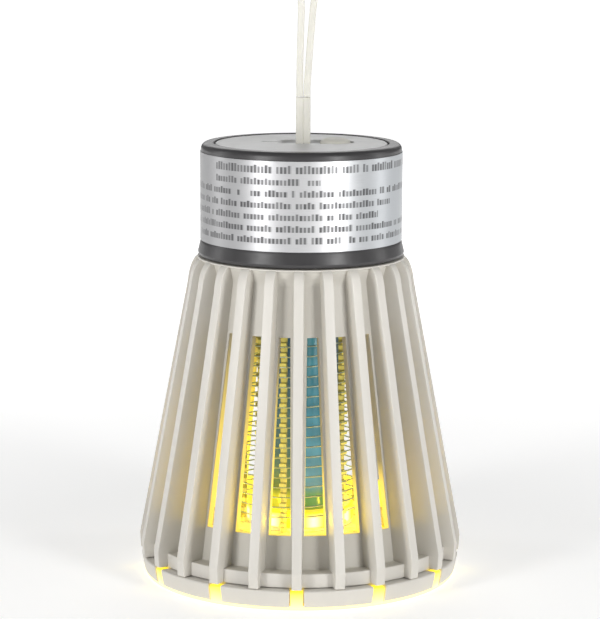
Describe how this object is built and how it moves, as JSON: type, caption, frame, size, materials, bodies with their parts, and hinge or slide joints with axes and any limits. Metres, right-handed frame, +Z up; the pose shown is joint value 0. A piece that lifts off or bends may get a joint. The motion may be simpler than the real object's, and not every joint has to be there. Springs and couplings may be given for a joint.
{
  "type": "electric bug zapper",
  "caption": "Rechargeable hanging bug zapper: round head, finned cone cage round a wire grid and lamp column, twist-off glowing base and strap.",
  "frame": {"origin": "centre of the base's flat underside", "axes": "+Z up along the lamp's axis, -Y towards the front fin, the charging port at +Y, the power button at +X"},
  "size_m": [0.09, 0.09, 0.1744],
  "materials": {
    "cage_plastic": "fine moulded satin",
    "yellow_diffuser": "translucent, lit yellow",
    "black_rubber": "matt",
    "screw_steel": "zinc plated",
    "head_plastic": "satin dark grey",
    "label_foil": "brushed foil label",
    "cover_plastic": "satin",
    "silicone": "soft silicone",
    "indicator_clear": "smoked clear",
    "black_plastic": "fine texture",
    "board_laminate": "solder mask",
    "led_board": "white solder mask",
    "ferrite": "sintered",
    "capacitor_film": "epoxy dipped",
    "cell_sleeve": "shrink sleeve",
    "lamp_clear": "blue-lit tube",
    "insulator": "satin",
    "grid_wire": "drawn wire",
    "lead_red": "silicone insulation"
  },
  "bodies": {
    "upper_unit": {"finned_cage": "cage_plastic", "head_housing": "head_plastic", "rating_label": "label_foil", "top_cover": "cover_plastic", "indicator_lens": "indicator_clear", "usb_socket": "screw_steel", "chassis": "black_plastic", "circuit_board": "board_laminate", "chassis_screw_1": "screw_steel", "chassis_screw_2": "screw_steel", "chassis_screw_3": "screw_steel", "board_screw_1": "screw_steel", "board_screw_2": "screw_steel", "board_screw_3": "screw_steel", "hv_transformer": "ferrite", "hv_capacitor": "capacitor_film", "control_chip": "black_plastic", "tact_switch": "black_plastic", "status_led": "indicator_clear", "battery_cell": "cell_sleeve", "battery_tab": "screw_steel", "battery_spring": "screw_steel", "core_tube": "black_plastic", "lamp_tube": "lamp_clear", "uv_led_strip_1": "led_board", "uv_led_strip_2": "led_board", "uv_led_strip_3": "led_board", "uv_led_strip_4": "led_board", "grid_frame": "insulator", "electrode_live": "grid_wire", "electrode_return": "grid_wire", "hv_lead_1": "lead_red", "hv_lead_2": "black_plastic", "glow_led_board": "led_board", "glow_collar": "yellow_diffuser", "downlight_board": "led_board", "foot_screw": "screw_steel", "strap_stem": "silicone", "hanging_loop": "silicone"},
    "base": {"base_ring": "cage_plastic", "diffuser_tray": "yellow_diffuser", "base_seal": "black_rubber", "base_screw_1": "screw_steel", "base_screw_2": "screw_steel", "base_screw_3": "screw_steel"},
    "button": {"power_button": "silicone", "switch_plunger": "cover_plastic"},
    "flap": {"usb_flap": "black_rubber"}
  },
  "joints": [
    {"name": "base_twist", "type": "hinge", "parent": "upper_unit", "child": "base", "pos_m": [0, 0, 0], "axis": [0, 0, -1], "range_deg": [0, 20]},
    {"name": "button_press", "type": "slide", "parent": "upper_unit", "child": "button", "axis": [0, 0, -1], "range_m": [0, 0.0006], "stiffness_N_per_m": 3000},
    {"name": "usb_flap_hinge", "type": "hinge", "parent": "upper_unit", "child": "flap", "pos_m": [0, 0.0279, 0.1017], "axis": [-1, 0, 0], "range_deg": [0, 110]}
  ]
}
